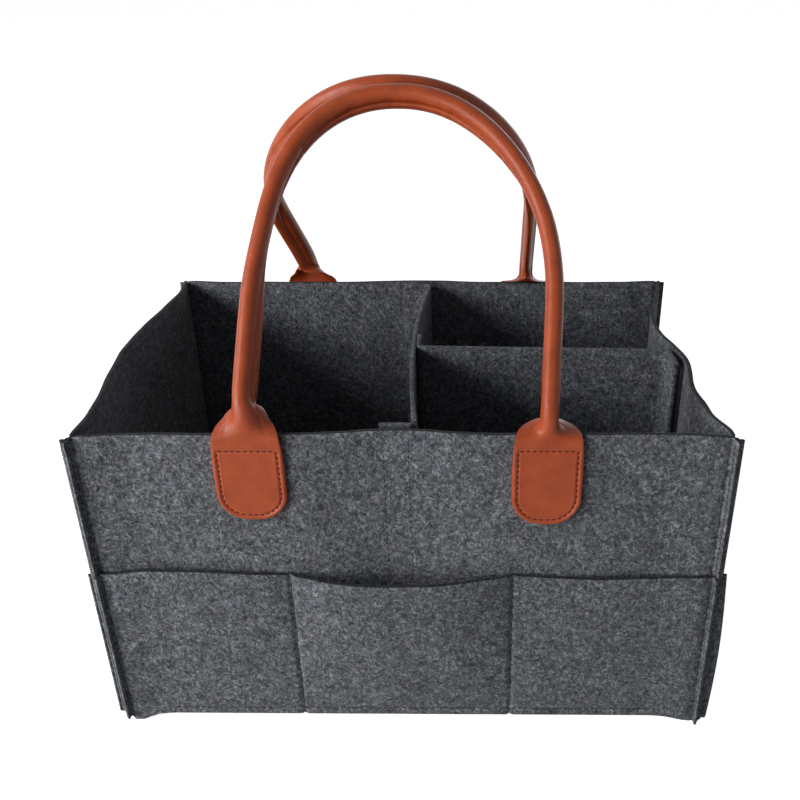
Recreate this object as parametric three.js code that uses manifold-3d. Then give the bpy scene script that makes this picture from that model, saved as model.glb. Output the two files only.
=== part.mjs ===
// Felt nursery caddy. Five felt panels are sewn into an open box, with the edges of each
// corner turned out into a raw seam, and felt strips are sewn round its lower half as pockets.
// A T-shaped felt divider is held inside by hook-and-loop tape. Two handles, each a leather
// strip folded round a cord, swing on tabs that are stitched to the long walls.
// Millimetres, +Z up, +Y to the back, origin on the ground under the middle of the box.

import * as THREE from 'three'
import { mergeVertices } from 'three/addons/utils/BufferGeometryUtils.js'
import Module from 'manifold-3d'

const wasm = await Module()
wasm.setup()

// Box
const caddy_width = 330
const caddy_depth = 228
const wall_height = 190
const felt = 2.5
const touch_gap = 0.3

// Corner seams: how far they stand out of the corner, and the felt pressed thin by the thread
const fin_width = 6.4
const seam_felt = 1.6

// Base panel: how far its sewn edges are turned down
const base_drop = 5

// Walls are flat at the foot, and have taken their full bow at this height
const bow_foot = 12
const bow_full = 70
const front_pull = 5
const back_push = 3
const right_dent = 12
const right_dent_centre = 36
const right_pull = 6.8
const right_pull_centre = -60
const left_belly = 4.6

// Pockets
const pocket_height = 102
const pocket_seam = 60.5
const pocket_foot = 6
const side_bulge = 6
const middle_bulge = 10
const left_bulge = 6.5
const right_bulge = 10.5

// Divider insert
const divider_x = 6
const divider_bow = 6
const cross_y = -1
const cross_slant = 5
const flange_width = 20
const tape_width = 15
const tape_thickness = 1.6
const tape_foot = 72
const tape_top = 184
const hook_inset = 2

// Handle tabs
const leg_spacing = 152
const tab_width = 36.5
const tab_length = 51
const tab_thickness = 3
const tab_corner = 16

// Handles, measured in the plane that each lies in, from the line that it swings about
const pivot_proud = 1.5
const pivot_rise = 2
const leg_length = 70
const front_arch_rise = 111.4
const back_arch_rise = 113.5
const flare_length = 17
const flat_thickness = 3.8
const tube_width = 9
const tube_depth = 14
const leather = 1.2
const core_diameter = 5.2

// How far the limp handles stand aside from an even loop: each leg at its tab and at its
// shoulder, and the top of the arch. Left and right are as seen from that handle's own side.
const shoulder_height = 104
const front_left_foot = -3.5
const front_left_shoulder = -0.5
const front_right_foot = -2.2
const front_right_shoulder = 1
const front_sway = -5.3
const back_left_foot = 3
const back_left_shoulder = 4.7
const back_right_foot = 0
const back_right_shoulder = 12.8
const back_sway = 7.8

// The tube is turned about its middle: it has turned fully at the first height, and holds that
// turn up to the second
const turned_height = 34
const held_height = 60

// Shares that shape outlines: they have no length
const arch_power_share = 2.15
const belly_power_share = 2.5
const rise_power_share = 0.7
const pinch_share = 0.3
const slit_share = 0.022
const core_place_share = 0.36
const flare_row_shares = [0, 0.13, 0.3, 0.45, 0.6, 0.78, 1]

// How finely curved pieces are divided
const long_wall_columns = 24
const end_wall_columns = 22
const bow_rows = 4
const pocket_columns = 8
const pocket_rows = 4
const divider_steps = 8
const flange_steps = 4
const leg_steps = 3
const arch_steps = 26
const section_steps = 12
const core_quarters = 4
const tab_segments = 6

// Where things lie, worked out from the sizes above
const seam_reach = felt * Math.SQRT2 + fin_width
const base_top = base_drop + felt
const tape_stack = 2 * tape_thickness + 3 * touch_gap
const tape_x = divider_x - flange_width / 2
const cross_end_y = cross_y - cross_slant
const tape_y = cross_end_y - flange_width / 2
const tape_bow_reach = leg_spacing / 2 - tab_width / 2 - Math.abs(tape_x)

const felt_grey = new THREE.Color(0x585a5f)
const leather_tan = new THREE.Color(0xaa5434)
const tape_black = new THREE.Color(0x1d1d20)
const cord_white = new THREE.Color(0xd8d2c4)

// A wall is drawn facing -Y, along running to the right as seen from outside, and then turned
// about Z. Its bows pull it in where their depth is positive.
const front_wall = {
  length: caddy_width,
  out: caddy_depth / 2,
  turn: 0,
  columns: long_wall_columns,
  bow_top: bow_full,
  bows: [{ centre: tape_x, reach: tape_bow_reach, depth: front_pull }]
}
const back_wall = {
  length: caddy_width,
  out: caddy_depth / 2,
  turn: Math.PI,
  columns: long_wall_columns,
  bow_top: bow_full,
  bows: [{ centre: -tape_x, reach: tape_bow_reach, depth: -back_push }]
}
const right_wall = {
  length: caddy_depth,
  out: caddy_width / 2,
  turn: Math.PI / 2,
  columns: end_wall_columns,
  bow_top: bow_full,
  bows: [
    { centre: right_dent_centre, reach: caddy_depth / 2 - right_dent_centre, depth: right_dent },
    { centre: right_pull_centre, reach: caddy_depth / 2 + right_pull_centre, depth: right_pull }
  ]
}
const left_wall = {
  length: caddy_depth,
  out: caddy_width / 2,
  turn: -Math.PI / 2,
  columns: end_wall_columns,
  bow_top: wall_height,
  bows: [{ centre: 0, reach: caddy_depth / 2 - felt, depth: -left_belly }]
}

// How far the wall is pulled in at one point
function bow_at(wall, along, z) {
  let pulled = 0
  for (const bow of wall.bows) {
    const share = (along - bow.centre) / bow.reach
    if (Math.abs(share) < 1) pulled += bow.depth * Math.cos(share * Math.PI / 2) ** 2
  }
  return pulled * THREE.MathUtils.smoothstep(z, bow_foot, wall.bow_top)
}

// Numbers from first to last in even steps
function even_steps(first, last, steps) {
  return Array.from({ length: steps + 1 }, (_, step) => THREE.MathUtils.lerp(first, last, step / steps))
}

// A closed sheet between two grids of points. Columns run along it, rows run up it, and the
// outside grid lies on the right of the columns' direction.
function sheet_geometry(inside, outside) {
  const rows = inside.length
  const columns = inside[0].length
  const top = rows - 1
  const end = columns - 1
  const inner = (row, column) => row * columns + column
  const outer = (row, column) => (rows + row) * columns + column
  const faces = []
  const quad = (a, b, c, d) => faces.push(a, b, c, a, c, d)
  for (let row = 0; row < top; row++) {
    for (let column = 0; column < end; column++) {
      const [low, high, left, right] = [row, row + 1, column, column + 1]
      quad(outer(low, left), outer(low, right), outer(high, right), outer(high, left))
      quad(inner(low, right), inner(low, left), inner(high, left), inner(high, right))
    }
    quad(inner(row, 0), outer(row, 0), outer(row + 1, 0), inner(row + 1, 0))
    quad(outer(row, end), inner(row, end), inner(row + 1, end), outer(row + 1, end))
  }
  for (let column = 0; column < end; column++) {
    quad(inner(0, column), inner(0, column + 1), outer(0, column + 1), outer(0, column))
    quad(outer(top, column), outer(top, column + 1), inner(top, column + 1), inner(top, column))
  }
  const geometry = new THREE.BufferGeometry()
  const points = [...inside.flat(), ...outside.flat()].flat()
  geometry.setAttribute('position', new THREE.Float32BufferAttribute(points, 3))
  geometry.setIndex(faces)
  geometry.computeVertexNormals()
  return geometry
}

function felt_mesh(name, geometry) {
  const material = new THREE.MeshStandardMaterial({ color: felt_grey, roughness: 1, metalness: 0 })
  const mesh = new THREE.Mesh(geometry, material)
  mesh.name = name
  return mesh
}

function leather_mesh(name, geometry) {
  const material = new THREE.MeshStandardMaterial({ color: leather_tan, roughness: 0.5, metalness: 0 })
  const mesh = new THREE.Mesh(geometry, material)
  mesh.name = name
  return mesh
}

// Walls and pockets: felt faces that run into the corner seams

// One face in plan, from seam tip to seam tip, as [along, out] pairs. The face lies depth outside
// the wall's inner face, and seam_depth from the middle of the corner seam. stops are the places
// between the corners.
function face_path(wall, depth, seam_depth, stops) {
  const inner_along = wall.length / 2 - felt
  const inner_out = wall.out - felt
  const corner = inner_along + depth - Math.SQRT2 * seam_depth
  const tip_along = inner_along + (seam_reach - seam_depth) / Math.SQRT2
  const tip_out = inner_out + (seam_reach + seam_depth) / Math.SQRT2
  const face = [-corner, ...stops, corner].map((along) => [along, inner_out + depth])
  return [[-tip_along, tip_out], ...face, [tip_along, tip_out]]
}

// The grid of one face: push(along, z) says how far it stands out of its plan path
function face_grid(path, heights, push) {
  return heights.map((z) => path.map(([along, out]) => [along, -out - push(along, z), z]))
}

function wall_panel(name, wall) {
  const stops = even_steps(-wall.length / 2, wall.length / 2, wall.columns).slice(1, -1)
  const heights = [0, ...even_steps(bow_foot, wall.bow_top, bow_rows)]
  if (wall.bow_top < wall_height) heights.push(wall_height)
  const push = (along, z) => -bow_at(wall, along, z)
  const inside = face_path(wall, 0, touch_gap / 2, stops)
  const outside = face_path(wall, felt, touch_gap / 2 + seam_felt, stops)
  const panel = felt_mesh(name, sheet_geometry(
    face_grid(inside, heights, push),
    face_grid(outside, heights, push)
  ))
  panel.rotation.z = wall.turn
  return panel
}

// A strip sewn into both corner seams, along its foot, and at each place in seams.
// bulges holds how far each pocket's mouth gapes.
function pocket_strip(name, wall, seams, bulges) {
  const edges = [-wall.length / 2, ...seams, wall.length / 2]
  const stops = bulges.flatMap((_, pocket) => (
    even_steps(edges[pocket], edges[pocket + 1], pocket_columns).slice(pocket === 0 ? 1 : 0, -1)
  ))
  const belly = (along) => {
    const pocket = bulges.findIndex((_, number) => along <= edges[number + 1])
    if (pocket < 0 || along < edges[0]) return 0
    const share = (along - edges[pocket]) / (edges[pocket + 1] - edges[pocket])
    return bulges[pocket] * (1 - Math.abs(2 * share - 1) ** belly_power_share)
  }
  const rise = (z) => (Math.max(0, z - pocket_foot) / (pocket_height - pocket_foot)) ** rise_power_share
  const push = (along, z) => belly(along) * rise(z) + Math.max(0, -bow_at(wall, along, z))
  const heights = [0, ...even_steps(pocket_foot, pocket_height, pocket_rows)]
  const inner_seam = touch_gap / 2 + seam_felt + touch_gap
  const inside = face_path(wall, felt + touch_gap, inner_seam, stops)
  const outside = face_path(wall, 2 * felt + touch_gap, inner_seam + seam_felt, stops)
  const strip = felt_mesh(name, sheet_geometry(
    face_grid(inside, heights, push),
    face_grid(outside, heights, push)
  ))
  strip.rotation.z = wall.turn
  return strip
}

// Base: a felt panel with its edges turned down behind the walls, open underneath

function solid_box(width, depth, height, bottom) {
  const box = new THREE.BoxGeometry(width, depth, height)
  box.translate(0, 0, bottom + height / 2)
  box.deleteAttribute('normal')
  box.deleteAttribute('uv')
  const merged = mergeVertices(box)
  const mesh = new wasm.Mesh({
    numProp: 3,
    vertProperties: new Float32Array(merged.attributes.position.array),
    triVerts: new Uint32Array(merged.index.array)
  })
  return new wasm.Manifold(mesh)
}

function base_panel() {
  const width = caddy_width - 2 * (felt + touch_gap)
  const depth = caddy_depth - 2 * (felt + touch_gap)
  const block = solid_box(width, depth, base_top, 0)
  const hollow = solid_box(width - 2 * felt, depth - 2 * felt, 2 * base_drop, -base_drop)
  const cut = block.subtract(hollow).getMesh()
  const geometry = new THREE.BufferGeometry()
  geometry.setAttribute('position', new THREE.Float32BufferAttribute(cut.vertProperties, 3))
  geometry.setIndex(Array.from(cut.triVerts))
  geometry.computeVertexNormals()
  return felt_mesh('base_panel', geometry)
}

// Divider insert: felt strips that stand on edge, and the tape that holds them

// A path in plan moved sideways, to the right of its direction, with mitred bends
function offset_path(path, distance) {
  const right_of = (from, to) => {
    const direction = new THREE.Vector2(to[0] - from[0], to[1] - from[1]).normalize()
    return new THREE.Vector2(direction.y, -direction.x)
  }
  return path.map((point, place) => {
    const before = right_of(path[Math.max(place - 1, 0)], path[Math.max(place, 1)])
    const last = path.length - 1
    const after = right_of(path[Math.min(place, last - 1)], path[Math.min(place + 1, last)])
    const middle = before.clone().add(after).normalize()
    const reach = distance / middle.dot(before)
    return [point[0] + middle.x * reach, point[1] + middle.y * reach]
  })
}

function upright_geometry(path, thickness, bottom, top) {
  const grid = (side) => [bottom, top].map((z) => (
    offset_path(path, side * thickness / 2).map(([x, y]) => [x, y, z])
  ))
  return sheet_geometry(grid(-1), grid(1))
}

// Points that follow the inside of a wall at the height of its full bow, depth further in
function follow_wall(wall, first, last, depth) {
  const turn = new THREE.Vector3(0, 0, 1)
  return even_steps(first, last, flange_steps).map((along) => {
    const out = wall.out - felt - bow_at(wall, along, wall.bow_top) - depth
    const point = new THREE.Vector3(along, -out, 0).applyAxisAngle(turn, wall.turn)
    return [point.x, point.y]
  })
}

// Where the insert stands along each wall: its folded corner, and its flange's free edge
const front_places = [divider_x + felt / 2 - flange_width, divider_x]
const back_places = [-divider_x, flange_width - felt / 2 - divider_x]
const right_places = [cross_end_y, cross_end_y + felt / 2 - flange_width]
const flange_depth = tape_stack + felt / 2

function divider_line(y, half_depth) {
  return divider_x - divider_bow * (1 - (y / half_depth) ** 2)
}

function main_divider() {
  const front = follow_wall(front_wall, ...front_places, flange_depth)
  const back = follow_wall(back_wall, ...back_places, flange_depth)
  const [start, finish] = [front.at(-1)[1], back[0][1]]
  const half_depth = (finish - start) / 2
  const middle = (finish + start) / 2
  const along = even_steps(start, finish, divider_steps).slice(1, -1)
  const wall = along.map((y) => [divider_line(y - middle, half_depth), y])
  const path = [...front, ...wall, ...back]
  const geometry = upright_geometry(path, felt, base_top + touch_gap, wall_height)
  return { mesh: felt_mesh('main_divider', geometry), half_depth, middle }
}

function cross_divider(main) {
  const beside = (y) => divider_line(y - main.middle, main.half_depth) + felt + touch_gap
  const sewn = even_steps(cross_y + flange_width - felt / 2, cross_y, flange_steps).map((y) => [beside(y), y])
  const held = follow_wall(right_wall, ...right_places, flange_depth)
  const geometry = upright_geometry([...sewn, ...held], felt, base_top + touch_gap, wall_height)
  return felt_mesh('cross_divider', geometry)
}

// Tape follows the wall that it holds to. Loop tape is sewn to the wall, hook tape to the flange.
function tape(name, wall, centre, depth, inset) {
  const path = follow_wall(wall, centre - tape_width / 2, centre + tape_width / 2, depth + tape_thickness / 2)
  const geometry = upright_geometry(path, tape_thickness, tape_foot + inset, tape_top - inset)
  const material = new THREE.MeshStandardMaterial({ color: tape_black, roughness: 0.9, metalness: 0 })
  const mesh = new THREE.Mesh(geometry, material)
  mesh.name = name
  return mesh
}

function tape_pair(side, wall, centre) {
  const hook_depth = 2 * touch_gap + tape_thickness
  return [
    tape(`${side}_loop_tape`, wall, centre, touch_gap, 0),
    tape(`${side}_hook_tape`, wall, centre, hook_depth, hook_inset)
  ]
}

// Handles: a leather strip that is flat at its tabs and folded round a cord between them

function handle_tab(name, x) {
  const half = tab_width / 2
  const shape = new THREE.Shape()
  shape.moveTo(-half, wall_height)
  shape.lineTo(-half, wall_height - tab_length + tab_corner)
  shape.absarc(-half + tab_corner, wall_height - tab_length + tab_corner, tab_corner, Math.PI, 1.5 * Math.PI)
  shape.lineTo(half - tab_corner, wall_height - tab_length)
  shape.absarc(half - tab_corner, wall_height - tab_length + tab_corner, tab_corner, 1.5 * Math.PI, 2 * Math.PI)
  shape.lineTo(half, wall_height)
  const options = { depth: tab_thickness, bevelEnabled: false, curveSegments: tab_segments }
  const geometry = new THREE.ExtrudeGeometry(shape, options)
  geometry.rotateX(Math.PI / 2)
  const tab = leather_mesh(name, geometry)
  tab.position.set(x, -caddy_depth / 2 - touch_gap, 0)
  return tab
}

// Turns are in degrees, positive where the tube's inner edge comes to the front
const front_handle = {
  arch_rise: front_arch_rise,
  sway: front_sway,
  top_turn: 29,
  left: { foot: front_left_foot, shoulder: front_left_shoulder, leg_turn: 42, shoulder_turn: 5 },
  right: { foot: front_right_foot, shoulder: front_right_shoulder, leg_turn: 7, shoulder_turn: -12 }
}
const back_handle = {
  arch_rise: back_arch_rise,
  sway: back_sway,
  top_turn: 41,
  left: { foot: back_left_foot, shoulder: back_left_shoulder, leg_turn: 4, shoulder_turn: 20 },
  right: { foot: back_right_foot, shoulder: back_right_shoulder, leg_turn: -47, shoulder_turn: -2 }
}

// Half of the widest part of the tube, whose sides swell towards its round edge
const swell = Math.max(...even_steps(0, Math.PI, section_steps).map((angle) => (
  Math.sin(angle) * (1 + pinch_share * Math.cos(angle))
)))
const widest = tube_width / 2 * swell

// The handles lean in until the tops of their arches stand back to back
const pivot_out = caddy_depth / 2 + touch_gap + tab_thickness + pivot_proud
const pivot_height = wall_height + pivot_rise
const length_of = (handle) => leg_length + handle.arch_rise
const lean_of = (handle) => Math.asin((pivot_out - widest - touch_gap / 2) / length_of(handle))

// A value that passes smoothly from one to the next as the height passes the marks
function eased(height, marks, values) {
  return values.slice(1).reduce((value, next, step) => (
    THREE.MathUtils.lerp(value, next, THREE.MathUtils.smoothstep(height, marks[step], marks[step + 1]))
  ), values[0])
}

// Places along the middle of the tube: which leg each belongs to, how far across, and how high
function handle_line(handle) {
  const half_span = leg_spacing / 2
  const flare = flare_row_shares.map((share) => share * flare_length)
  const leg = [...flare, ...even_steps(flare_length, leg_length, leg_steps).slice(1, -1)]
  const power = 2 / arch_power_share
  const arch = even_steps(Math.PI, 0, arch_steps).map((angle) => {
    const across = Math.sign(Math.cos(angle)) * Math.abs(Math.cos(angle)) ** power
    return [half_span * across, leg_length + handle.arch_rise * Math.abs(Math.sin(angle)) ** power]
  })
  const up = leg.map((height) => [-half_span, height])
  const down = leg.map((height) => [half_span, height]).reverse()
  const marks = [0, shoulder_height, length_of(handle)]
  return [...up, ...arch, ...down].map(([across, height]) => {
    const side = across < 0 ? handle.left : handle.right
    const aside = eased(height, marks, [side.foot, side.shoulder, handle.sway])
    return { side, across: across + aside, height }
  })
}

// The tube's section at each place: its centre, its two directions, and its sizes
function handle_sections(handle) {
  const line = handle_line(handle)
  const last = line.length - 1
  const lean = lean_of(handle)
  const marks = [0, turned_height, held_height, shoulder_height, length_of(handle)]
  const rightward = new THREE.Vector3(1, 0, 0)
  const upward = new THREE.Vector3(0, Math.sin(lean), Math.cos(lean))
  const outward = new THREE.Vector3(0, -Math.cos(lean), Math.sin(lean))
  const in_plane = (x, height) => rightward.clone().multiplyScalar(x).addScaledVector(upward, height)
  const pivot = new THREE.Vector3(0, -pivot_out, pivot_height)
  return line.map(({ side, across, height }, place) => {
    const [from, to] = [line[Math.max(place - 1, 0)], line[Math.min(place + 1, last)]]
    const run = new THREE.Vector2(to.across - from.across, to.height - from.height).normalize()
    const inward = in_plane(run.y, -run.x)
    const turns = [0, side.leg_turn, side.leg_turn, side.shoulder_turn, handle.top_turn]
    const turn = THREE.MathUtils.degToRad(eased(height, marks, turns))
    const round_edge = outward.clone().multiplyScalar(Math.cos(turn)).addScaledVector(inward, -Math.sin(turn))
    const flank = inward.clone().multiplyScalar(Math.cos(turn)).addScaledVector(outward, Math.sin(turn))
    const formed = THREE.MathUtils.smoothstep(height, 0, flare_length)
    return {
      height,
      centre: in_plane(across, height).add(pivot),
      flank,
      round_edge,
      half_width: THREE.MathUtils.lerp(tab_width / 2, tube_width / 2, formed),
      half_depth: THREE.MathUtils.lerp(flat_thickness / 2, tube_depth / 2, formed),
      pinch: pinch_share * formed
    }
  })
}

// One ring of the leather, open by a slit along its inner edge; thinner by the leather inside
function leather_ring(section, inset) {
  const slit = slit_share * Math.PI
  return even_steps(slit - Math.PI, Math.PI - slit, section_steps).map((angle) => {
    const sideways = (section.half_width - inset) * Math.sin(angle) * (1 + section.pinch * Math.cos(angle))
    const edgeways = (section.half_depth - inset) * Math.cos(angle)
    const point = section.centre.clone().addScaledVector(section.flank, sideways)
    return point.addScaledVector(section.round_edge, edgeways).toArray()
  })
}

function handle_leather(name, sections) {
  const inside = sections.map((section) => leather_ring(section, leather))
  const outside = sections.map((section) => leather_ring(section, 0))
  return leather_mesh(name, sheet_geometry(inside, outside))
}

// The cord lies in the round edge of the tube, from the top of one flare to the other
function handle_core(name, sections) {
  const held = sections.filter((section) => section.height >= flare_length)
  const core_place = core_place_share * tube_depth / 2
  const places = held.map((section) => section.centre.clone().addScaledVector(section.round_edge, core_place))
  const circle = new THREE.Shape().absarc(0, 0, core_diameter / 2, 0, 2 * Math.PI)
  const extrudePath = new THREE.CatmullRomCurve3(places)
  const options = { steps: held.length, curveSegments: core_quarters, extrudePath }
  const material = new THREE.MeshStandardMaterial({ color: cord_white, roughness: 0.9, metalness: 0 })
  const mesh = new THREE.Mesh(new THREE.ExtrudeGeometry(circle, options), material)
  mesh.name = name
  return mesh
}

// One handle with its two tabs, drawn at the front and turned about Z
function handle_side(side, turn, handle) {
  const sections = handle_sections(handle)
  const group = new THREE.Group()
  const [low, high] = turn === 0 ? ['left', 'right'] : ['right', 'left']
  group.add(handle_tab(`${side}_${low}_tab`, handle.left.foot - leg_spacing / 2))
  group.add(handle_tab(`${side}_${high}_tab`, handle.right.foot + leg_spacing / 2))
  group.add(handle_leather(`${side}_handle_leather`, sections))
  group.add(handle_core(`${side}_handle_core`, sections))
  group.rotation.z = turn
  return group
}

// The whole caddy
const caddy = new THREE.Group()
caddy.add(wall_panel('front_panel', front_wall))
caddy.add(wall_panel('back_panel', back_wall))
caddy.add(wall_panel('left_end_panel', left_wall))
caddy.add(wall_panel('right_end_panel', right_wall))
caddy.add(base_panel())

const strip_seams = [-pocket_seam, pocket_seam]
const strip_bulges = [side_bulge, middle_bulge, side_bulge]
caddy.add(pocket_strip('front_pocket_strip', front_wall, strip_seams, strip_bulges))
caddy.add(pocket_strip('back_pocket_strip', back_wall, strip_seams, strip_bulges))
caddy.add(pocket_strip('left_end_pocket', left_wall, [], [left_bulge]))
caddy.add(pocket_strip('right_end_pocket', right_wall, [], [right_bulge]))

const main = main_divider()
caddy.add(main.mesh, cross_divider(main))
caddy.add(...tape_pair('front', front_wall, tape_x))
caddy.add(...tape_pair('back', back_wall, -tape_x))
caddy.add(...tape_pair('right', right_wall, tape_y))

caddy.add(handle_side('front', 0, front_handle))
caddy.add(handle_side('back', Math.PI, back_handle))

export default caddy
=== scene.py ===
from math import asin, cos, pi, radians, sin, sqrt

import bmesh
import bpy
import numpy as np
from mathutils import Matrix, Vector


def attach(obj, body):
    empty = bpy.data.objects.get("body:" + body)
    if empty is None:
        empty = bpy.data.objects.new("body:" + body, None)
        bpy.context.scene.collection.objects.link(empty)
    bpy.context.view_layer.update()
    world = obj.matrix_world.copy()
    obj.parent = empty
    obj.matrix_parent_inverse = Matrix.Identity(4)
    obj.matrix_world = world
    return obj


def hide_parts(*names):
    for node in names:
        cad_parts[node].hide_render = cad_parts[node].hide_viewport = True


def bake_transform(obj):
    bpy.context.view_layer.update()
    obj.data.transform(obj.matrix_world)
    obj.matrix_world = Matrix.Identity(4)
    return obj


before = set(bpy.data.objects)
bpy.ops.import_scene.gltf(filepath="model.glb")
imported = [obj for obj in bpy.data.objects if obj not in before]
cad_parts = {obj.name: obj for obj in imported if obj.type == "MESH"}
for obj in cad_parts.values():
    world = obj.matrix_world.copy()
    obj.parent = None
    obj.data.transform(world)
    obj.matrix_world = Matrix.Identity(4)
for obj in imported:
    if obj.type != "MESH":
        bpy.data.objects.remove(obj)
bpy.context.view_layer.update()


# ---- Camera ----
# The photograph is taken from in front of the caddy, a little to its right, looking down into
# it. It is 800 x 800, and cropped so that the lens points low and right of its middle.
camera_tilt = 29.77
camera_data = bpy.data.cameras.new("camera")
camera_data.sensor_width = 36
camera_data.lens = 43.63
camera_data.shift_x = -0.0875
camera_data.shift_y = 0.0746
camera = bpy.data.objects.new("camera", camera_data)
camera.location = (0.034, -0.5416, 0.4204)
camera.rotation_euler = (radians(90 - camera_tilt), 0, 0)
bpy.context.scene.collection.objects.link(camera)
bpy.context.scene.camera = camera
bpy.context.scene.view_settings.view_transform = "Standard"


# ---- Floor and light ----
# A pale studio floor and a white background. One soft lamp on the left shines over the left
# wall into the box, a wide one low in front lights its front only, and weak ones fill in.
floor_width = 24
floor_grey = (0.6, 0.6, 0.6, 1)
floor_glow = 0.94
bpy.ops.object.select_all(action="DESELECT")
bpy.ops.mesh.primitive_plane_add(size=floor_width)
floor = bpy.context.object
floor.name = "floor"


def fill_inputs(node, **inputs):
    """Sets or joins a node's inputs by name, with _ for a space, or by place, as i0, i1."""
    for key, value in inputs.items():
        socket = node.inputs[int(key[1:]) if key[1:].isdigit() else key.replace("_", " ")]
        if isinstance(value, bpy.types.NodeSocket):
            node.id_data.links.new(value, socket)
        else:
            socket.default_value = value


def node_maker(tree):
    """A short way to add a node to a tree, set it, and fill its inputs."""
    def make(kind, settings=None, **inputs):
        node = tree.nodes.new(kind)
        for key, value in (settings or {}).items():
            setattr(node, key, value)
        fill_inputs(node, **inputs)
        return node
    return make


def worked_out(make, operation, *values):
    return make("ShaderNodeMath", {"operation": operation},
                **{f"i{place}": value for place, value in enumerate(values)}).outputs[0]


def seen_directly(make):
    """1 for camera, mirror and glass rays, 0 for those that carry light."""
    path = make("ShaderNodeLightPath").outputs
    seen = worked_out(make, "MAXIMUM", path["Is Camera Ray"], path["Is Glossy Ray"])
    return worked_out(make, "MAXIMUM", seen, path["Is Transmission Ray"])


floor_paint = bpy.data.materials.new("floor_paint")
floor_paint.use_nodes = True
floor_paint.node_tree.nodes.clear()
make = node_maker(floor_paint.node_tree)
diffuse = make("ShaderNodeBsdfDiffuse", Color=floor_grey)
glow = make("ShaderNodeEmission", Strength=worked_out(make, "MULTIPLY", seen_directly(make), floor_glow))
both_lights = make("ShaderNodeAddShader", i0=diffuse.outputs[0], i1=glow.outputs[0])
make("ShaderNodeOutputMaterial", Surface=both_lights.outputs[0])
floor.data.materials.append(floor_paint)

world = bpy.data.worlds.new("studio")
bpy.context.scene.world = world
world.use_nodes = True
world.node_tree.nodes.clear()
make = node_maker(world.node_tree)
ambient = make("ShaderNodeBackground", Color=(0.86, 0.93, 1, 1), Strength=0.09)
backdrop = make("ShaderNodeBackground", Color=(1, 1, 1, 1), Strength=1)
choice = make("ShaderNodeMixShader", i0=seen_directly(make), i1=ambient.outputs[0], i2=backdrop.outputs[0])
make("ShaderNodeOutputWorld", Surface=choice.outputs[0])

lamp_target = Vector((0, 0, 0.15))
for name, away, size, power, colour in (
        ("key_lamp", (-1.46, -0.64, 0.71), 0.6, 21, (0.97, 0.985, 1)),
        ("front_lamp", (-1.12, -1.18, 0.06), 0.9, 19, (1, 0.985, 0.96)),
        ("fill_lamp", (1.0, -1.8, 0.7), 1.6, 1.8, (0.7, 0.86, 1)),
        ("back_lamp", (0.8, 1.7, 0.2), 1.2, 9, (0.85, 0.93, 1))):
    light = bpy.data.lights.new(name, "AREA")
    light.size = size
    light.energy = power
    light.color = colour
    lamp = bpy.data.objects.new(name, light)
    lamp.location = lamp_target + Vector(away)
    lamp.rotation_euler = (-Vector(away)).to_track_quat("-Z", "Y").to_euler()
    bpy.context.scene.collection.objects.link(lamp)


# ---- Walls ----
# Five panels are cut from 2.5 mm heather charcoal needled felt. The side edges of each wall are
# turned out and sewn to its neighbour's, which leaves a raw double edge standing at the corners.
mm = 0.001
caddy_width = 330
caddy_depth = 228
wall_height = 190
leg_spacing = 152
felt = 2.5
touch_gap = 0.3
raw_edge = 0.4
foot_gap = 3.3
belly_foot = 12
seam_width = 6.4
seam_flare = 2.2
seam_pressed = 1.1
seam_crease = 1.5
seam_columns = 10
seam_trim = 1.6
wall_reach = felt * sqrt(2) + seam_width - seam_flare * sqrt(2)
strip_reach = wall_reach + 0.85
wall_stitch = 4.2
strip_stitch = 5.4
stitch_pitch = 3.6
felt_stitch = (2.5, 0.75, 0.55)
stitch_proud = 0.05
seen_seam = (109, 187.5)

felt_dark = (0.050, 0.051, 0.058, 1)
felt_middle = (0.102, 0.104, 0.113, 1)
felt_blue = (0.094, 0.106, 0.122, 1)
felt_light = (0.215, 0.220, 0.234, 1)


def smooth(value, low, high):
    """0 below low, 1 above high, and an S-shaped rise between them."""
    share = np.clip((value - low) / (high - low), 0, 1)
    return share * share * (3 - 2 * share)


def new_material(name):
    """A material, a maker of its nodes, and its shader."""
    material = bpy.data.materials.new(name)
    material.use_nodes = True
    return material, node_maker(material.node_tree), material.node_tree.nodes["Principled BSDF"]


def noise(make, place, scale, detail, roughness=0.5):
    return make("ShaderNodeTexNoise", Vector=place, Scale=scale, Detail=detail, Roughness=roughness)


def mixed(make, share, first, second):
    return make("ShaderNodeMix", {"data_type": "RGBA"}, Factor=share, i6=first, i7=second).outputs[2]


def mapped(make, value, low, high, to_low=0.0, to_high=1.0, way="LINEAR"):
    return make("ShaderNodeMapRange", {"interpolation_type": way}, Value=value, From_Min=low,
                From_Max=high, To_Min=to_low, To_Max=to_high).outputs[0]


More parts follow.
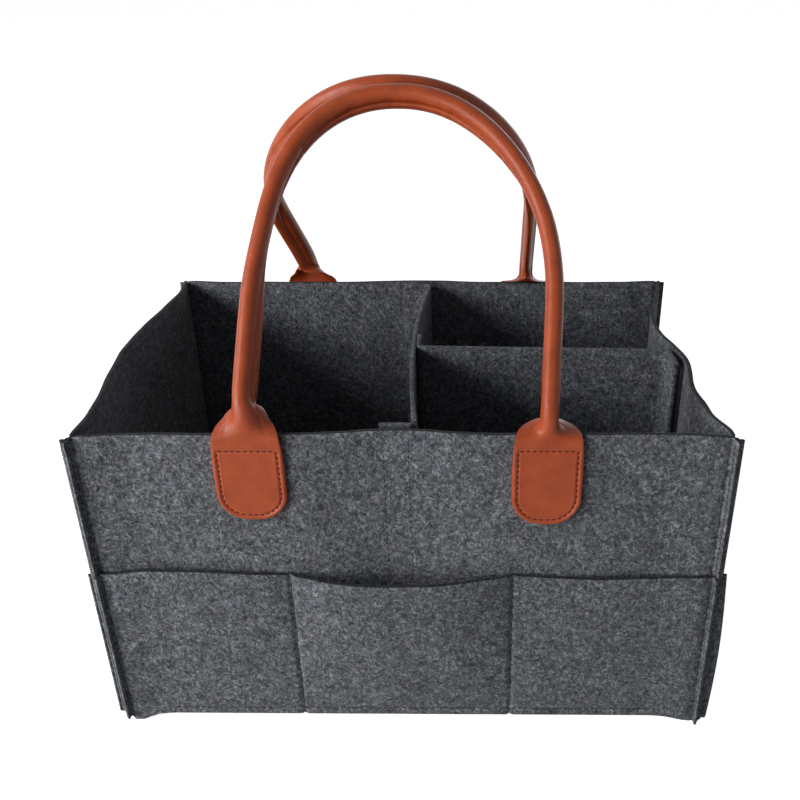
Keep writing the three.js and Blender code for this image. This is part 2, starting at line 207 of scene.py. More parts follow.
def heather_group():
    """Needled felt: dyed, grey and pale fibres tangled in every direction."""
    tree = bpy.data.node_groups.new("heather_felt", "ShaderNodeTree")
    tree.interface.new_socket("Colour", in_out="OUTPUT", socket_type="NodeSocketColor")
    tree.interface.new_socket("Height", in_out="OUTPUT", socket_type="NodeSocketFloat")
    make = node_maker(tree)
    place = make("ShaderNodeTexCoord").outputs["Object"]
    warp = noise(make, place, 290.0, 2.0)
    bent = make("ShaderNodeVectorMath", {"operation": "MULTIPLY_ADD"},
                i0=warp.outputs["Color"], i1=(0.0052, 0.0052, 0.0052), i2=place).outputs[0]
    strands = []
    for number, turn in enumerate(((20, 50, 10), (75, -25, 60), (-40, 15, 120), (10, 80, -45))):
        lie = make("ShaderNodeMapping", {"vector_type": "TEXTURE"}, Vector=bent,
                   Rotation=tuple(radians(angle) for angle in turn),
                   Location=(0.13 * number, 0.07 * number, 0.0),
                   Scale=(0.0040, 0.00115, 0.00115))
        strands.append(noise(make, lie.outputs[0], 1.0, 1.0).outputs["Fac"])
    longest = darkest = strands[0]
    for strand in strands[1:]:
        longest = worked_out(make, "MAXIMUM", longest, strand)
        darkest = worked_out(make, "MINIMUM", darkest, strand)
    clouds = noise(make, place, 120.0, 3.0, 0.66).outputs["Fac"]
    hues = noise(make, place, 95.0, 2.0, 0.6).outputs["Fac"]
    clumps = noise(make, bent, 430.0, 1.0).outputs["Fac"]
    fuzz = noise(make, bent, 1100.0, 3.0).outputs["Fac"]
    dyed = mixed(make, mapped(make, hues, 0.38, 0.62), felt_middle, felt_blue)
    deep = mapped(make, darkest, 0.43, 0.29, way="SMOOTHSTEP")
    pale = mapped(make, longest, 0.57, 0.74, way="SMOOTHSTEP")
    fibres = mixed(make, pale, mixed(make, deep, dyed, felt_dark), felt_light)
    shade = worked_out(make, "MULTIPLY", mapped(make, clumps, 0.34, 0.66, 0.68, 1.32, "SMOOTHSTEP"),
                       mapped(make, clouds, 0.3, 0.7, 0.72, 1.28))
    shaded = make("ShaderNodeVectorMath", {"operation": "SCALE"}, i0=fibres, Scale=shade)
    make("NodeGroupOutput", Colour=shaded.outputs[0],
         Height=worked_out(make, "MULTIPLY_ADD", longest, 1.6, fuzz))
    return tree


heather = heather_group()


def felt_material(name, shade):
    """Felt scaled darker by shade: 1 for a face; less makes a darkened copy, which is painted shade on the
    top and bottom cut edges, standing in for the dark gaps beside them and the little light that reaches
    them.
    """
    material, make, shader = new_material(name)
    grain = make("ShaderNodeGroup", {"node_tree": heather})
    shaded = make("ShaderNodeVectorMath", {"operation": "SCALE"}, i0=grain.outputs["Colour"], Scale=shade)
    bump = make("ShaderNodeBump", Height=grain.outputs["Height"], Strength=0.4, Distance=0.0009)
    fill_inputs(shader, Base_Color=shaded.outputs[0], Normal=bump.outputs[0], Roughness=0.95,
                Specular_IOR_Level=0.1, Sheen_Weight=0.08, Sheen_Roughness=0.5)
    return material


charcoal_felt = felt_material("charcoal_felt", 1.0)
# A darkened copy of the felt: painted shade for the top and bottom cut edges of walls and pocket strips, not
# a colour of their own.
cut_edge_painted_shade_felt = felt_material("cut_edge_painted_shade_felt", 0.22)


def new_grid(name, columns, rows):
    """A flat grid from -1 to 1 m, whose points are then moved to their places."""
    bpy.ops.object.select_all(action="DESELECT")
    bpy.ops.mesh.primitive_grid_add(x_subdivisions=columns - 1, y_subdivisions=rows - 1, size=2)
    piece = bpy.context.object
    piece.name = piece.data.name = name
    return piece


def apply_modifier(piece, kind, **settings):
    modifier = piece.modifiers.new(kind, kind)
    for key, value in settings.items():
        setattr(modifier, key, value)
    bpy.ops.object.modifier_apply(modifier=modifier.name)


def grid_sheet(name, inside, outside, edge, uv=None, end_material=0):
    """A closed sheet: a flat grid is given its two faces, then each point is moved to its place,
    and its cut edges are rounded. inside and outside hold [row, column, xyz] in mm. end_material
    is the slot of its top and bottom edges."""
    rows, columns = inside.shape[:2]
    thick_of_grid = 1
    piece = new_grid(name, columns, rows)
    mesh = piece.data
    apply_modifier(piece, "SOLIDIFY", thickness=thick_of_grid, offset=-1)
    flat = np.empty(len(mesh.vertices) * 3)
    mesh.vertices.foreach_get("co", flat)
    flat = flat.reshape(-1, 3)
    column = np.rint((flat[:, 0] + 1) / 2 * (columns - 1)).astype(int)
    row = np.rint((flat[:, 1] + 1) / 2 * (rows - 1)).astype(int)
    outer = flat[:, 2] > -thick_of_grid / 2
    placed = np.where(outer[:, None], outside[row, column], inside[row, column])
    mesh.vertices.foreach_set("co", (placed * mm).ravel())
    ends = np.empty(len(mesh.edges) * 2, int)
    mesh.edges.foreach_get("vertices", ends)
    a, b = ends.reshape(-1, 2).T
    side_edge = (column[a] == column[b]) & np.isin(column[a], (0, columns - 1))
    end_edge = (row[a] == row[b]) & np.isin(row[a], (0, rows - 1))
    cut = (outer[a] == outer[b]) & (side_edge | end_edge)
    for face in mesh.polygons:
        face_rows, face_sides = row[list(face.vertices)], outer[list(face.vertices)]
        if face_sides.any() and not face_sides.all() and np.ptp(face_rows) == 0:
            face.material_index = end_material
    weight = mesh.attributes.new("bevel_weight_edge", "FLOAT", "EDGE")
    weight.data.foreach_set("value", cut.astype(float))
    if uv is not None:
        corner = np.empty(len(mesh.loops), int)
        mesh.loops.foreach_get("vertex_index", corner)
        mesh.uv_layers.active.data.foreach_set("uv", uv[row[corner], column[corner]].ravel())
    apply_modifier(piece, "BEVEL", limit_method="WEIGHT", width=edge * mm, segments=2)
    bpy.ops.object.shade_smooth()
    return piece


def sin_of(place, period, shift):
    return np.sin(place * 2 * pi / period + 1.7 * shift)


def turned(points, angle):
    """Points or directions turned about Z."""
    x, y, z = np.moveaxis(points, -1, 0)
    return np.stack([x * cos(angle) - y * sin(angle), x * sin(angle) + y * cos(angle), z], -1)


def distances(path):
    """How far along a path in plan each of its points lies."""
    return np.concatenate([[0], np.cumsum(np.hypot(*np.diff(path, axis=0).T))])


def length_of(path):
    return float(distances(path)[-1])


def points_at(path, places):
    """The points of a path in plan that lie so far along it."""
    run = distances(path)
    return np.stack([np.interp(places, run, path[:, 0]), np.interp(places, run, path[:, 1])], -1)


# A wall is drawn facing -Y, along running to the right as seen from outside, then turned about Z.
# bows are the places where it is pulled in: where along it, how far they reach, and how deep.
# tips says how far the two ends of its foot are cut short of the ground, slack how much more the
# foot hangs up on its left, and fan how far its pocket's left edge stands off the seam. quiet is
# the middle of the tape that is sewn on; the left wall has none, and is as even there.
front_wall = {"length": caddy_width, "out": caddy_depth / 2, "turn": 0, "bow_top": 70,
              "bows": [(-4, 53.75, 5)], "wave": 1, "tips": (7, 0.2), "slack": 0.38, "fan": 0, "quiet": -4}
back_wall = {"length": caddy_width, "out": caddy_depth / 2, "turn": pi, "bow_top": 70,
             "bows": [(4, 53.75, -3)], "wave": 2, "tips": (0.5, 0.5), "slack": 0, "fan": 0, "quiet": 4}
left_wall = {"length": caddy_depth, "out": caddy_width / 2, "turn": -pi / 2, "bow_top": wall_height,
             "bows": [(0, 111.5, -9)], "wave": 4, "tips": (0.5, 7), "slack": 0, "fan": 0, "quiet": -16}
right_wall = {"length": caddy_depth, "out": caddy_width / 2, "turn": pi / 2, "bow_top": 70,
              "bows": [(36, 78, 12.6), (-60, 54, 6.8), (-92, 19, 1.6)], "wave": 3, "tips": (0, 0.5),
              "slack": 0, "fan": 3.2, "quiet": -16}
walls = {"front": front_wall, "back": back_wall, "left": left_wall, "right": right_wall}


def bow_at(wall, along, z):
    """How far the wall is pulled in. The left end only bellies out near its rim."""
    pulled = 0
    for centre, reach, depth in wall["bows"]:
        share = np.clip((along - centre) / reach, -1, 1)
        pulled = pulled + depth * np.cos(share * pi / 2) ** 2
    taken = smooth(z, belly_foot, wall["bow_top"])
    return pulled * (taken ** 2 if wall is left_wall else taken)


def foot_lift(wall, along, z):
    """The foot stands a little off the ground between the corners, which carry the caddy. The
    upper ends of the seams are cut a little short."""
    half = wall["length"] / 2
    beyond = np.abs(along) - half
    middle = foot_gap * smooth(-beyond, 0, 17) * (1 - wall["slack"] * along / half)
    tip = smooth(beyond, -3, 4) * np.where(along < 0, *wall["tips"])
    trimmed = seam_trim * smooth(beyond, -2, 4) * smooth(z, 176, wall_height)
    return middle * (1 - np.clip(z / 40, 0, 1)) ** 2 + tip * (1 - np.clip(z / 25, 0, 1)) ** 2 - trimmed


def wave_at(wall, along, z):
    """Slight unevenness of standing felt. It dies away at the seams, at the foot, and where
    leather or tape is sewn on."""
    n = wall["wave"]
    wave = (sin_of(along, 61 + 3 * n, n) * sin_of(z, 83, 2 * n)
            + 0.6 * sin_of(along + 0.4 * z, 37 + n, 3 * n))
    still = smooth(wall["length"] / 2 - np.abs(along), 4, 30) * smooth(z, 8, 30)
    quiet = smooth(np.abs(along - wall["quiet"]), 10, 24)
    if wall["length"] == caddy_width:
        quiet = quiet * smooth(np.abs(np.abs(along) - leg_spacing / 2), 18, 34)
    return 0.45 * wave * still * (quiet + (1 - quiet) * smooth(-z, -120, -95) * 0.5)


def wall_pushed(wall, along, z):
    return wave_at(wall, along, z) - bow_at(wall, along, z)


def press_at(reach, stitch, free):
    """Felt thickness along a corner seam, from its bend to its tip: thin under the thread."""
    return free - (free - seam_pressed) * np.exp(-((reach - stitch) / 0.95) ** 2)


def wall_near(reach):
    """How far each face of a wall's turned-out edge lies from the middle of the corner seam."""
    spread = 0.15 + 0.25 * smooth(reach, wall_stitch, wall_reach)
    return spread, spread + press_at(reach, wall_stitch, 2.3)


def strip_near(reach):
    """The same for a pocket strip, which is sewn on outside the wall."""
    inner = wall_near(reach)[1] + touch_gap - 0.1 + 0.2 * smooth(reach, strip_stitch, strip_reach)
    return inner, inner + press_at(reach, strip_stitch, 2.0)


def face_plan(wall, depth, near, tip, bend, crease, stops):
    """One face in plan from seam tip to seam tip, as along, out pairs. near says how far it lies
    from the middle of the seam, tip how long the seam is, bend how rounded it turns into the seam,
    and crease how deep the thread pulls the turn in."""
    inner_along = wall["length"] / 2 - felt + seam_flare
    inner_out = wall["out"] - felt + seam_flare
    root_near = near(np.array(4.0))
    corner = np.array([inner_along + depth - sqrt(2) * root_near, inner_out + depth])
    start = sqrt(2) * depth - root_near + bend
    reach = start + (tip - start) * np.linspace(1, 0, seam_columns)
    n = near(reach)
    fin = np.stack([inner_along + (reach - n) / sqrt(2), inner_out + (reach + n) / sqrt(2)], -1)
    t = np.linspace(0, 1, 8)[1:, None]
    pulled = corner + crease * np.array([0.6, -0.8])
    arc = (1 - t) ** 2 * fin[-1] + 2 * t * (1 - t) * pulled + t ** 2 * (corner - [bend, 0])
    end = np.concatenate([fin, arc])
    flare = seam_flare * smooth(np.abs(stops), wall["length"] / 2 - 26, wall["length"] / 2 - 2)
    middle = np.stack([stops, inner_out - seam_flare + flare + depth], -1)
    return np.concatenate([end * [-1, 1], middle, end[::-1]])


def wall_stops(wall, places=()):
    """Where the columns of a face stand, closer together at each place that is stitched."""
    half = wall["length"] / 2 - 6
    stops = list(np.linspace(-half, half, int(2 * half / 4.5)))
    for place in places:
        stops = [stop for stop in stops if abs(stop - place) > 5]
        stops += [place + step for step in (-4.5, -2.8, -1.7, -0.9, 0, 0.9, 1.7, 2.8, 4.5)]
    return np.array(sorted(stops))


def face_points(wall, plan, heights, push, lift=foot_lift, stand_off=0):
    """A face's points, pushed out, lifted, and near its left seam stood off."""
    z, along = np.meshgrid(heights, plan[:, 0], indexing="ij")
    out = plan[:, 1] + push(along, z) + 1.2 * stand_off
    return turned(np.stack([along + 0.5 * stand_off, -out, z + lift(wall, along, z)], -1), wall["turn"])


wall_heights = np.concatenate([[0, 1.2, 3, 5.5, 8, 12], np.linspace(16, 186, 39), [188.4, 190]])


# By default a felt piece's second slot holds the darkened copy, painted shade on its top and bottom cut
# edges.
def finish_felt(piece, node, body, materials=(charcoal_felt, cut_edge_painted_shade_felt)):
    """Gives a felt piece its materials and its body, and hides the CAD node it stands for."""
    for material in materials:
        piece.data.materials.append(material)
    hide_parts(node)
    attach(piece, body)


def wall_panel(name, wall):
    stops = wall_stops(wall)
    inside = face_plan(wall, 0, lambda reach: wall_near(reach)[0], wall_reach, 3.5, 0, stops)
    outside = face_plan(wall, felt, lambda reach: wall_near(reach)[1], wall_reach, 1.3, seam_crease, stops)
    push = lambda along, z: wall_pushed(wall, along, z)
    panel = grid_sheet("felt_" + name, face_points(wall, inside, wall_heights, push),
                       face_points(wall, outside, wall_heights, push), raw_edge, None, 1)
    finish_felt(panel, name, "caddy")


def thread_material(name, dark, light, gloss):
    """Twisted sewing thread, with its ply as fine slanting bands."""
    material, make, shader = new_material(name)
    ply = make("ShaderNodeTexWave", {"bands_direction": "DIAGONAL"}, Scale=520.0, Distortion=1.5,
               Detail=1.0, Vector=make("ShaderNodeTexCoord").outputs["Object"]).outputs["Fac"]
    bump = make("ShaderNodeBump", Height=ply, Strength=0.6, Distance=0.0002)
    fill_inputs(shader, Base_Color=mixed(make, ply, dark, light), Normal=bump.outputs[0],
                Roughness=gloss, Specular_IOR_Level=0.1)
    return material


charcoal_thread = thread_material("charcoal_thread", (0.012, 0.012, 0.014, 1), (0.045, 0.046, 0.052, 1), 0.7)


def stitch_row(name, angle, places, headings, facings, size=felt_stitch, thread=charcoal_thread):
    """A row of equal stitches: one is shaped, and copied to each place in mm, then all are turned
    about Z by angle. size holds a stitch's length, width and height."""
    bpy.ops.object.select_all(action="DESELECT")
    bpy.ops.mesh.primitive_uv_sphere_add(segments=8, ring_count=5, radius=0.5)
    row = bpy.context.object
    row.name = name
    row.data.name = name
    bpy.ops.object.mode_set(mode="EDIT")
    bpy.ops.mesh.select_all(action="SELECT")
    bpy.ops.transform.rotate(value=pi / 2, orient_axis="Y", center_override=(0, 0, 0))
    bpy.ops.transform.resize(value=tuple(length * mm for length in size))
    bpy.ops.object.mode_set(mode="OBJECT")
    one = row.data.copy()
    sewn = bmesh.new()
    for heading, facing, place in zip(*(turned(np.broadcast_to(vectors, np.shape(places)), angle)
                                        for vectors in (headings, facings, places))):
        side = np.cross(facing, heading)
        copy = one.copy()
        copy.transform(Matrix([[*axes, shift * mm] for *axes, shift in zip(heading, side, facing, place)]
                              + [[0, 0, 0, 1]]))
        sewn.from_mesh(copy)
        bpy.data.meshes.remove(copy)
    sewn.to_mesh(row.data)
    sewn.free()
    bpy.data.meshes.remove(one)
    bpy.ops.object.shade_smooth()
    row.data.materials.append(thread)
    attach(row, "caddy")


def fin_stitches(name, wall, near, seam_stitch, low, high):
    """Two rows, one on each end of a wall, through the leaves of its corner seams."""
    heights = np.arange(low, high, stitch_pitch)
    inner_along, inner_out = (reach - felt + seam_flare for reach in (wall["length"] / 2, wall["out"]))
    depth = float(near(np.array(seam_stitch))) + stitch_proud
    out = inner_out + (seam_stitch + depth) / sqrt(2)
    places, facings = [], []
    for side in (-1, 1):
        along = side * (inner_along + (seam_stitch - depth) / sqrt(2))
        places += [(along, -out, z) for z in heights]
        facings += [(-side / sqrt(2), -1 / sqrt(2), 0)] * len(heights)
    stitch_row(name, wall["turn"], places, (0.0, 0, 1), facings)


for wall_name, node in (("front", "front_panel"), ("back", "back_panel"),
                        ("left", "left_end_panel"), ("right", "right_end_panel")):
    wall_panel(node, walls[wall_name])

for side, wall in walls.items():
    fin_stitches("thread_" + side + "_corners", wall, lambda reach: wall_near(reach)[1],
                 wall_stitch, *seen_seam)


# ---- Base ----
# One felt panel lies inside the walls. Its four edges are turned down behind them and sewn
# along the foot, so the caddy stands on the edges of its walls.
base_reach = felt + touch_gap
base_drop = 5
base_middle = base_drop + felt / 2
half_width = caddy_width / 2 - base_reach - felt / 2
half_depth = caddy_depth / 2 - base_reach - felt / 2
base_sag = 0.35
base_bend = 1.6
base = new_grid("felt_base_panel", 61, 43)
for vertex in base.data.vertices:
    x, y = vertex.co.x * half_width, vertex.co.y * half_depth
    lift = base_sag * sin(x / 23) * sin(y / 19 + 1) * (1 - vertex.co.x ** 4) * (1 - vertex.co.y ** 4)
    vertex.co = (x * mm, y * mm, (base_middle + lift) * mm)
bpy.ops.object.mode_set(mode="EDIT")
bpy.ops.mesh.select_all(action="SELECT")
bpy.ops.mesh.region_to_loop()
bpy.ops.mesh.extrude_edges_move(TRANSFORM_OT_translate={"value": (0, 0, (foot_gap - base_middle) * mm)})
bpy.ops.mesh.select_all(action="SELECT")
bpy.ops.mesh.normals_make_consistent(inside=False)
bpy.ops.object.mode_set(mode="OBJECT")
fold = base.data.attributes.new("bevel_weight_edge", "FLOAT", "EDGE")
for edge in base.data.edges:
    ends = [base.data.vertices[number].co / mm for number in edge.vertices]
    fold.data[edge.index].value = float(all(
        abs(z - base_middle) < 0.001 and min(abs(abs(x) - half_width), abs(abs(y) - half_depth)) < 0.001
        for x, y, z in ends))
apply_modifier(base, "BEVEL", limit_method="WEIGHT", width=base_bend * mm, segments=4)
apply_modifier(base, "SOLIDIFY", thickness=felt * mm, offset=0)
bpy.ops.object.shade_smooth_by_angle(angle=radians(50))
finish_felt(base, "base_panel", "caddy",
            [charcoal_felt])


# ---- Pockets ----
# Felt strips are sewn round the lower half of the walls: into the corner seams, along the foot,
# and down two rows of stitches on each long side, which makes three pockets with gaping mouths.
pocket_height = 102
pocket_seam = 60.5
seam_shift = -3.2
pocket_foot = 6
foot_stitch = 5.5
strip_heights = np.concatenate([[0, 1, 2.6, 4.2, 5.5, 6.8, 8.6, 11], np.linspace(15, 97, 22), [100.4, 102]])

# Each wall's rows of stitches, how far each pocket stands off it, and how far the mouths are
# pulled up along it, as places and rises
for wall, seams, bulges in (
        (front_wall, (seam_shift - pocket_seam, seam_shift + pocket_seam), (2.2, 10, 2.2)),
        (back_wall, (-pocket_seam, pocket_seam), (6, 10, 6)),
        (left_wall, (), (6.5,)), (right_wall, (), (10.5,))):
    wall["seams"] = (-wall["length"] / 2, *seams, wall["length"] / 2)
    wall["bulges"] = bulges
    wall["mouth"] = ((-165, 3.2), (165, 3.2))
front_wall["mouth"] = ((-165, 5.0), (-152, 6.2), (-138, 7.1), (-118, 6.9), (-97, 5.7), (-76, 4.2),
                       (-60.5, 3.2), (-34, 2.6), (-9, 2.0), (18, 3.0), (39, 3.3), (60.5, 2.7),
                       (77, 2.4), (99, 1.6), (131, 2.1), (165, 3.4))


def strip_lift(wall, along, z):
    """Both the foot and the mouth of a strip are a little higher than if it were stiff."""
    places, rises = np.array(wall["mouth"]).T
    near = [np.interp(along + step, places, rises) for step in (-6, -3, 0, 3, 6)]
    taken = np.clip((z - 30) / (pocket_height - 30), 0, 1) ** 2
    return foot_lift(wall, along, z) + np.mean(near, axis=0) * taken


def strip_pushed(wall, along, z):
    """How far a strip stands off the wall: its pockets belly out towards their mouths."""
    belly = 0
    for low, high, bulge in zip(wall["seams"][:-1], wall["seams"][1:], wall["bulges"]):
        share = np.clip((along - low) / (high - low), 0, 1)
        belly = np.maximum(belly, bulge * (1 - np.abs(2 * share - 1) ** 2.5))
    off_wall = belly * np.clip((z - pocket_foot) / (pocket_height - pocket_foot), 0, 1) ** 0.7
    slack = 0.35 * smooth(off_wall, 0.5, 4) * (sin_of(along + 0.3 * z, 47, wall["wave"])
                                                + 0.7 * sin_of(z, 58, wall["wave"] + 2))
    return off_wall + slack + np.maximum(0, -bow_at(wall, along, z))


def dip_at(wall, along, z):
    """How much thinner the felt is under its stitches, and how far they pull it to the wall."""
    rows = np.exp(-((z - foot_stitch) / 1.4) ** 2)
    for seam in wall["seams"][1:-1]:
        rows = np.maximum(rows, 1.7 * np.exp(-((along - seam) / 1.1) ** 2))
    return 0.75 * rows


def pocket_strip(name, wall):
    stops = wall_stops(wall, wall["seams"][1:-1])
    inside = face_plan(wall, felt + touch_gap, lambda reach: strip_near(reach)[0], strip_reach, 2.4, 0, stops)
    outside = face_plan(wall, 2 * felt + touch_gap, lambda reach: strip_near(reach)[1], strip_reach, 1.2,
                        seam_crease, stops)
    near_push = lambda along, z: strip_pushed(wall, along, z)
    far_push = lambda along, z: (strip_pushed(wall, along, z)
                                 - dip_at(wall, along, z) * (np.abs(along) < wall["length"] / 2 - 4))
    up = strip_heights[:, None] / pocket_height
    stand_off = np.zeros((len(strip_heights), len(inside)))
    stand_off[:, :seam_columns] = (smooth(np.linspace(1, 0, seam_columns), 0.4, 1)
                                   * (0.35 * (1 - up) + 0.85 * np.sin(up * pi)) * wall["fan"] / sqrt(2))
    faces = [face_points(wall, plan, strip_heights, push, strip_lift, stand_off)
             for plan, push in ((inside, near_push), (outside, far_push))]
    strip = grid_sheet("felt_" + name, *faces, raw_edge, None, 1)
    finish_felt(strip, name, "caddy")


def strip_stitches(name, wall):
    """The rows that hold a strip: along its foot, and up each seam between its pockets."""
    foot = np.arange(-wall["length"] / 2 + 5, wall["length"] / 2 - 4, stitch_pitch)
    rows = [(along, foot_stitch, (1, 0, 0)) for along in foot]
    for seam in wall["seams"][1:-1]:
        rows += [(seam, z, (0, 0, 1)) for z in np.arange(foot_stitch + 3, pocket_height - 1, stitch_pitch)]
    along, z = np.array([row[:2] for row in rows]).T
    out = (wall["out"] + felt + touch_gap + strip_pushed(wall, along, z)
           - dip_at(wall, along, z) + stitch_proud)
    places = np.stack([along, -out, z + strip_lift(wall, along, z)], -1)
    stitch_row(name, wall["turn"], places, [row[2] for row in rows], (0.0, -1, 0))


for wall_name, node in (("front", "front_pocket_strip"), ("back", "back_pocket_strip"),
                        ("left", "left_end_pocket"), ("right", "right_end_pocket")):
    pocket_strip(node, walls[wall_name])

for side, wall in walls.items():
    strip_stitches("thread_" + side + "_pockets", wall)
    fin_stitches("thread_" + side + "_pocket_corners", wall, lambda reach: strip_near(reach)[1],
                 strip_stitch, 6, pocket_height)


# ---- Divider insert ----
# Two felt strips stand on edge in the box: one runs from front to back, the other from it to the
# right end. Their ends are folded into flanges, which carry the tape that holds them.
divider_x = 6
divider_bow = 6
cross_y = -1
cross_end_y = -6
flange_width = 20
tape_thickness = 1.6
flange_depth = 2 * tape_thickness + 3 * touch_gap + felt / 2
divider_foot = base_drop + felt + touch_gap
divider_heights = np.concatenate([[divider_foot, 9.4], np.linspace(13, 186, 40), [188.4, 190]])
fold_radius = 4
column_spacing = 3.5


def follow_wall(wall, first, last, depth, steps):
    """Points along the inside of a wall at its full bow, depth further in."""
    along = np.linspace(first, last, steps)
    out = wall["out"] - felt - bow_at(wall, along, float(wall["bow_top"])) - depth
    return turned(np.stack([along, -out, 0 * along], -1), wall["turn"])[:, :2]


def rounded_path(path):
    """The path with its sharp bends rounded, in even steps."""
    points = [path[0]]
    for before, here, after in zip(path[:-2], path[1:-1], path[2:]):
        back, on = before - here, after - here
        back_length, on_length = np.hypot(*back), np.hypot(*on)
        if np.dot(back, on) / (back_length * on_length) <= -0.94:
            points.append(here)
            continue
        start = here + back / back_length * min(fold_radius, back_length * 0.49)
        end = here + on / on_length * min(fold_radius, on_length * 0.49)
        points += [(1 - t) ** 2 * start + 2 * t * (1 - t) * here + t ** 2 * end for t in np.linspace(0, 1, 9)]
    points = np.array([*points, path[-1]])
    length = length_of(points)
    return points_at(points, np.linspace(0, length, int(length / column_spacing) + 1))


def headings_of(path):
    """Which way a path in plan runs at each of its points."""
    step = np.gradient(path, axis=0)
    return step / np.hypot(step[:, 0], step[:, 1])[:, None]


def upright_sheet(name, path, heights, thickness, edge):
    """A sheet on edge that follows a path in plan."""
    step = headings_of(path)
    right = np.stack([step[:, 1], -step[:, 0]], -1)

    def face(distance):
        plan = path + right * distance
        z, x = np.meshgrid(heights, plan[:, 0], indexing="ij")
        return np.stack([x, np.broadcast_to(plan[:, 1], x.shape), z], -1)

    return grid_sheet(name, face(-thickness / 2), face(thickness / 2), edge)


front_flange = follow_wall(front_wall, divider_x + felt / 2 - flange_width, divider_x, flange_depth, 5)
back_flange = follow_wall(back_wall, -divider_x, flange_width - felt / 2 - divider_x, flange_depth, 5)
divider_front, divider_back = front_flange[-1][1], back_flange[0][1]
divider_half = (divider_back - divider_front) / 2
divider_middle = (divider_back + divider_front) / 2


def divider_line(y):
    return divider_x - divider_bow * (1 - ((y - divider_middle) / divider_half) ** 2)


main_run = np.linspace(divider_front, divider_back, 30)[1:-1]
main_path = np.concatenate([front_flange, np.stack([divider_line(main_run), main_run], -1), back_flange])
sewn_y = np.linspace(cross_y + flange_width - felt / 2, cross_y, 6)
sewn_flange = np.stack([divider_line(sewn_y) + felt + touch_gap, sewn_y], -1)
right_flange = follow_wall(right_wall, cross_end_y, cross_end_y + felt / 2 - flange_width, flange_depth, 5)
cross_path = np.concatenate([sewn_flange, right_flange])

for node, path in (("main_divider", rounded_path(main_path)), ("cross_divider", rounded_path(cross_path))):
    divider = upright_sheet("felt_" + node, path, divider_heights, felt, raw_edge)
    finish_felt(divider, node, "divider_insert",
                [charcoal_felt])


# ---- Hook and loop tape ----
# Three pairs of black woven tape, 15 mm wide. The soft loop half is sewn inside the wall and
# the hook half on the divider's flange.
tape_width = 15
tape_foot = 72
tape_top = 184
tape_edge = 0.3
hook_inset = 2


def tape_material(name, scale, height):
    """Black pile: tight loops, or sparser hooks, as fine cells."""
    material, make, shader = new_material(name)
    pile = make("ShaderNodeTexVoronoi", Vector=make("ShaderNodeTexCoord").outputs["Object"],
                Scale=scale).outputs["Distance"]
    bump = make("ShaderNodeBump", Height=pile, Strength=0.8, Distance=height)
    fill_inputs(shader, Base_Color=mixed(make, pile, (0.010, 0.010, 0.012, 1), (0.036, 0.036, 0.040, 1)),
                Normal=bump.outputs[0], Roughness=0.85, Sheen_Weight=0.15)
    return material


loop_pile = tape_material("loop_pile", 1500, 0.0006)
hook_pile = tape_material("hook_pile", 900, 0.0004)


def tape(name, wall, depth, inset, material, body):
    path = follow_wall(wall, wall["quiet"] - tape_width / 2, wall["quiet"] + tape_width / 2,
                       depth + tape_thickness / 2, 9)
    heights = np.linspace(tape_foot + inset, tape_top - inset, 30)
    strap = upright_sheet("woven_" + name, path, heights, tape_thickness, tape_edge)
    strap.data.materials.append(material)
    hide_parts(name)
    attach(strap, body)


for side in ("front", "back", "right"):
    tape(side + "_loop_tape", walls[side], touch_gap, 0, loop_pile, "caddy")
    tape(side + "_hook_tape", walls[side], 2 * touch_gap + tape_thickness, hook_inset, hook_pile,
         "divider_insert")

# Each loop tape is sewn down both its edges, through the wall, so two rows show outside above
# the pockets
for side in ("front", "back", "right"):
    wall = walls[side]
    z = np.tile(np.arange(tape_foot + 2, tape_top - 1, stitch_pitch), 2)
    along = wall["quiet"] + (tape_width / 2 - 1) * np.repeat([-1.0, 1.0], len(z) // 2)
    out = wall["out"] + wall_pushed(wall, along, z) - 0.1
    places = np.stack([along, -out, z + foot_lift(wall, along, z)], -1)
    stitch_row("thread_" + side + "_tape", wall["turn"], places, (0.0, 0, 1), (0.0, -1, 0))


# ---- Handles ----
# Each handle is one strip of tan imitation leather. Its ends are flat padded tabs, stitched to
# the walls; above them it curls up into a tube round a cord, open by a slit along its inner edge.
tab_half_width = 18.25
tab_front = caddy_depth / 2 + touch_gap + 3
tab_back = caddy_depth / 2 + touch_gap
tab_foot = wall_height - 51
tab_corner = 16
leather = 1.2
leather_edge = 0.35
leather_dark = (0.315, 0.046, 0.010, 1)
leather_light = (0.395, 0.068, 0.016, 1)
tube_half_width = 4.5
tube_half_depth = 7
tube_pinch = 0.3
valley_place = 8.6
valley_depth = 1.25
valley_width = 1.15
slit = 0.022 * pi
pivot_out = tab_front + 1.5
pivot_height = wall_height + 2
leg_length = 70
shoulder_height = 104
arch_power = 2 / 2.15
flare_foot = 184
flare_length = 17
flare_pull = 26

# How far each leg stands aside at its tab and at its shoulder, in mm, and how far its tube is
# turned there, in degrees. Left and right are as seen from that handle's own side. curl holds
# heights above the ground and how nearly closed the tube is there, and tab_up is how far the
# tab's round end is pulled up.
slow_curl = ((189.4, 0), (191, 0.04), (193, 0.14), (195, 0.25), (197.5, 0.40), (200, 0.50), (203, 0.60),
             (206.5, 0.74), (210, 1))
quick_curl = ((189.4, 0), (190.6, 0.13), (192, 0.45), (193.6, 0.74), (195.4, 0.93), (197.4, 1))
front_handle = {
    "rise": 111.4, "sway": -4.4, "top_turn": 29,
    "left": {"foot": -2.5, "shoulder": 0.6, "leg_turn": 42, "shoulder_turn": 5,
             "curl": slow_curl, "tab_up": 1.9},
    "right": {"foot": -2.4, "shoulder": 1.6, "leg_turn": 7, "shoulder_turn": -12,
              "curl": quick_curl, "tab_up": -1.2}}
back_handle = {
    "rise": 113.5, "sway": 6.9, "top_turn": 41,
    "left": {"foot": 3, "shoulder": 3.7, "leg_turn": 4, "shoulder_turn": 20,
             "curl": quick_curl, "tab_up": 0},
    "right": {"foot": 1, "shoulder": 13.8, "leg_turn": -47, "shoulder_turn": -2,
              "curl": slow_curl, "tab_up": 0}}

